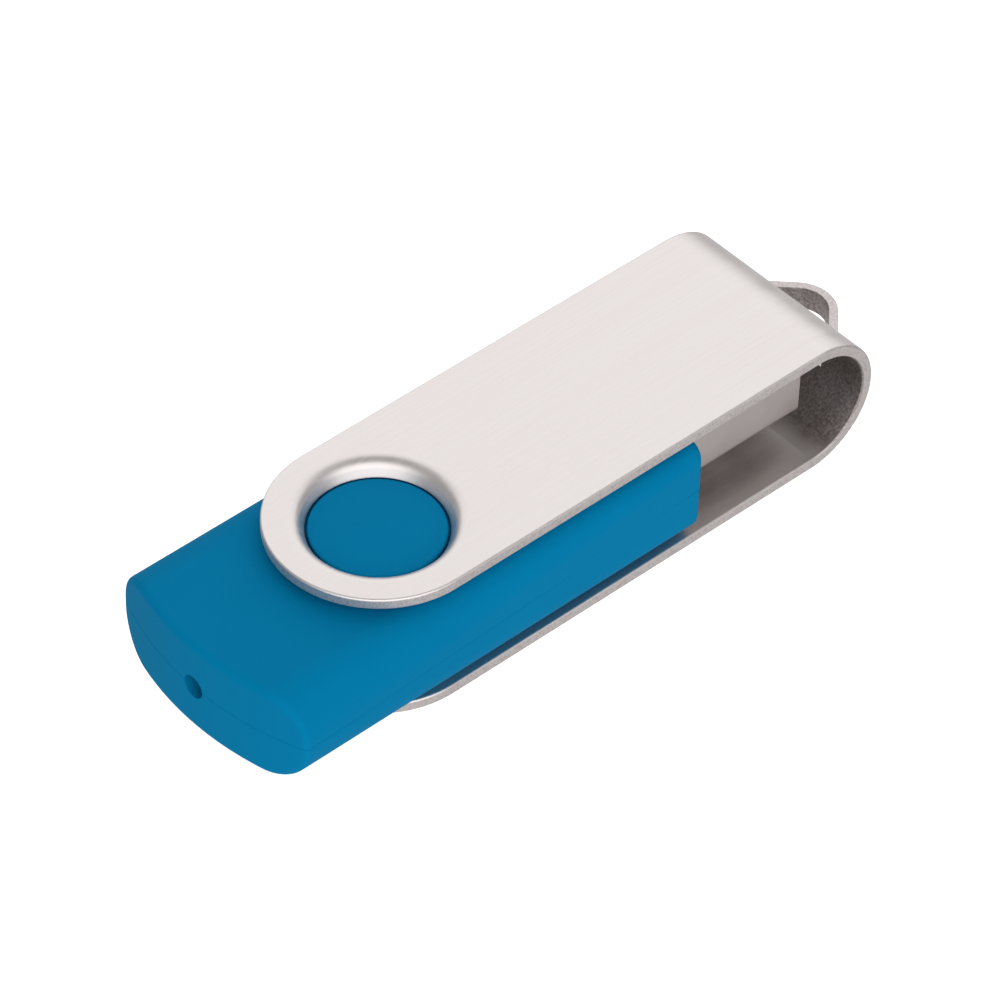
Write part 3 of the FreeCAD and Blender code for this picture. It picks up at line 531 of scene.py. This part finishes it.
@dataclass
class CircuitBoard:
    """The circuit board and the parts soldered to it."""

    # Glass epoxy board under printed green solder mask: smooth, with the mask's thickness clouding the green.
    laminate: MouldedResin = MouldedResin("solder_mask_laminate", "0c5a34", "117043", roughness=0.35,
                                          cloud_pitch=0.8)
    # Transfer-moulded epoxy: nearly black and matt from its glass filler.
    package: MouldedResin = MouldedResin("epoxy_moulding_compound", "17171a", "222226", roughness=0.6)
    # Electroplated tin: pale grey, with soft reflections.
    leads: PlatedMetal = PlatedMetal("matt_tin", "cfd0d2", "b7b8ba", roughness=0.4, cloud_pitch=0.5)
    # Fired alumina: an even, warm grey.
    crystal_base: MouldedResin = MouldedResin("alumina_ceramic", "8d8272", "9a8f80", roughness=0.55)
    # Pressed and nickel plated: bright and slightly warm.
    crystal_lid: PlatedMetal = PlatedMetal("nickel_lid", "d9d6cf", "c8c4bd", roughness=0.28)
    # Moulded clear epoxy, seen against its pale inside: glossy and nearly white.
    led_lens: MouldedResin = MouldedResin("clear_resin", "e4e6dc", "f0f1ea", roughness=0.15, ior=1.54)
    # Pressed and fired ferrite: a dull charcoal.
    ferrite: MouldedResin = MouldedResin("fired_ferrite", "343131", "403c3b", roughness=0.5)
    # Fired barium titanate layers: a satin tan.
    capacitor: MouldedResin = MouldedResin("capacitor_ceramic", "9f7a58", "ab8866", roughness=0.45)
    # Printed glass glaze over the resistive film: black, with a slight shine.
    resistor: MouldedResin = MouldedResin("resistor_glaze", "1a1a1d", "26262a", roughness=0.3)

    def dress(self) -> None:
        """Gives the board and its parts their finishes."""
        nodes_by_finish = {
            self.laminate: ("circuit_board",),
            self.package: ("flash_memory_chip", "controller_chip", "voltage_regulator"),
            self.leads: ("flash_memory_leads", "controller_leads", "voltage_regulator_leads"),
            self.crystal_base: ("crystal_base",),
            self.crystal_lid: ("crystal_lid",),
            self.led_lens: ("activity_led",),
            self.ferrite: ("ferrite_bead",),
            self.capacitor: ("capacitors",),
            self.resistor: ("resistors",),
        }
        for finish, nodes in nodes_by_finish.items():
            material = finish.build()
            for node in nodes:
                dress(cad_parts[node], material)


# ---------------------------------------------------------------- studio


@dataclass(frozen=True)
class LightPlace:
    """Where a softbox stands, in degrees round and above the object, with its size in metres and watts."""

    azimuth: float
    elevation: float
    width: float
    height: float
    power: float


class Softbox(Enum):
    """The studio's softboxes: a main one behind the object and a wide, low one in front."""

    BACK = LightPlace(azimuth=136.0, elevation=40.0, width=1.30, height=0.70, power=2.15)
    FRONT = LightPlace(azimuth=-33.0, elevation=24.0, width=1.40, height=0.85, power=4.1)


@dataclass
class Studio:
    """A pale floor, soft lights and the camera. Places are in millimetres and angles in degrees."""

    azimuth: float = -43.44
    elevation: float = 44.093
    roll: float = 1.989
    distance: float = 456.334
    lens: float = 217.02
    sensor_width: float = 36.0
    nearest_seen: float = 10.0
    aim: tuple[float, float, float] = (0.55, 0.0, 6.0)
    aim_right: float = -1.9774
    aim_up: float = -1.2435
    light_distance: float = 600.0
    floor_size: float = 6000.0
    room_glow: float = 0.32
    table_glow: float = 0.62
    glow_fades_from: float = -0.5
    glow_fades_to: float = 0.1

    def camera_axes(self) -> tuple[Vector, Vector, Vector]:
        """Works out the camera's axes.

        Returns:
            Unit vectors to the camera's right, up and back.
        """
        back = direction(self.azimuth, self.elevation)
        level_right = (-back).cross(Vector((0, 0, 1))).normalized()
        level_up = level_right.cross(-back)
        roll = math.radians(self.roll)
        right = math.cos(roll) * level_right + math.sin(roll) * level_up
        up = -math.sin(roll) * level_right + math.cos(roll) * level_up
        return right, up, back

    def add_camera(self) -> None:
        """Places the camera and makes it the scene's own."""
        right, up, back = self.camera_axes()
        data = bpy.data.cameras.new("camera")
        data.lens = self.lens
        data.sensor_width = self.sensor_width
        data.clip_start = self.nearest_seen * MM
        camera = bpy.data.objects.new("camera", data)
        bpy.context.scene.collection.objects.link(camera)
        place = Vector(self.aim) + right * self.aim_right + up * self.aim_up + back * self.distance
        camera.location = place * MM
        camera.rotation_mode = "QUATERNION"
        camera.rotation_quaternion = Matrix((right, up, back)).transposed().to_quaternion()
        bpy.context.scene.camera = camera

    def add_lights(self) -> None:
        """Puts each softbox in its place, aimed at the object."""
        for box in Softbox:
            towards = direction(box.value.azimuth, box.value.elevation)
            data = bpy.data.lights.new(f"softbox_{box.name.lower()}", "AREA")
            data.shape = "RECTANGLE"
            data.size = box.value.width
            data.size_y = box.value.height
            data.energy = box.value.power
            light = bpy.data.objects.new(data.name, data)
            light.location = towards * self.light_distance * MM
            light.rotation_mode = "QUATERNION"
            light.rotation_quaternion = towards.to_track_quat("Z", "Y")
            bpy.context.scene.collection.objects.link(light)

    def add_floor(self) -> None:
        """Adds the pale floor. Only the camera sees it: the room's own glow stands for its light."""
        bpy.ops.object.select_all(action="DESELECT")
        bpy.ops.mesh.primitive_plane_add(size=self.floor_size * MM, location=(0, 0, 0))
        floor = bpy.context.active_object
        floor.name = "studio_floor"
        dress(floor, LitAcrylic().build())
        floor.visible_diffuse = False
        floor.visible_glossy = False
        floor.visible_shadow = False

    def add_room(self) -> None:
        """Adds the even light of the room, brighter from the light table below, and a plain view."""
        world = bpy.data.worlds.new("studio_room")
        world.use_nodes = True
        tree = world.node_tree
        around = add_node(tree, "TexCoord").outputs["Generated"]
        upwards = add_node(tree, "SeparateXYZ", links={"Vector": around})
        glow = add_node(tree, "MapRange", {"interpolation_type": "SMOOTHSTEP"},
                        {"From Min": self.glow_fades_from, "From Max": self.glow_fades_to,
                         "To Min": self.table_glow, "To Max": self.room_glow},
                        {"Value": upwards.outputs["Z"]})
        background = tree.nodes["Background"]
        background.inputs["Color"].default_value = linear_colour(WHITE)
        tree.links.new(glow.outputs["Result"], background.inputs["Strength"])
        bpy.context.scene.world = world
        bpy.context.scene.view_settings.view_transform = "Standard"

    def build(self) -> None:
        """Sets up the whole studio."""
        self.add_camera()
        self.add_lights()
        self.add_floor()
        self.add_room()
        log.info("studio ready")


def main() -> None:
    """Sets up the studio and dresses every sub-assembly in order."""
    logging.basicConfig(level=logging.INFO)
    Studio().build()
    DriveShells().dress()
    SwivelClip().dress()
    UsbPlug().dress()
    CircuitBoard().dress()


if __name__ == "__main__":
    main()
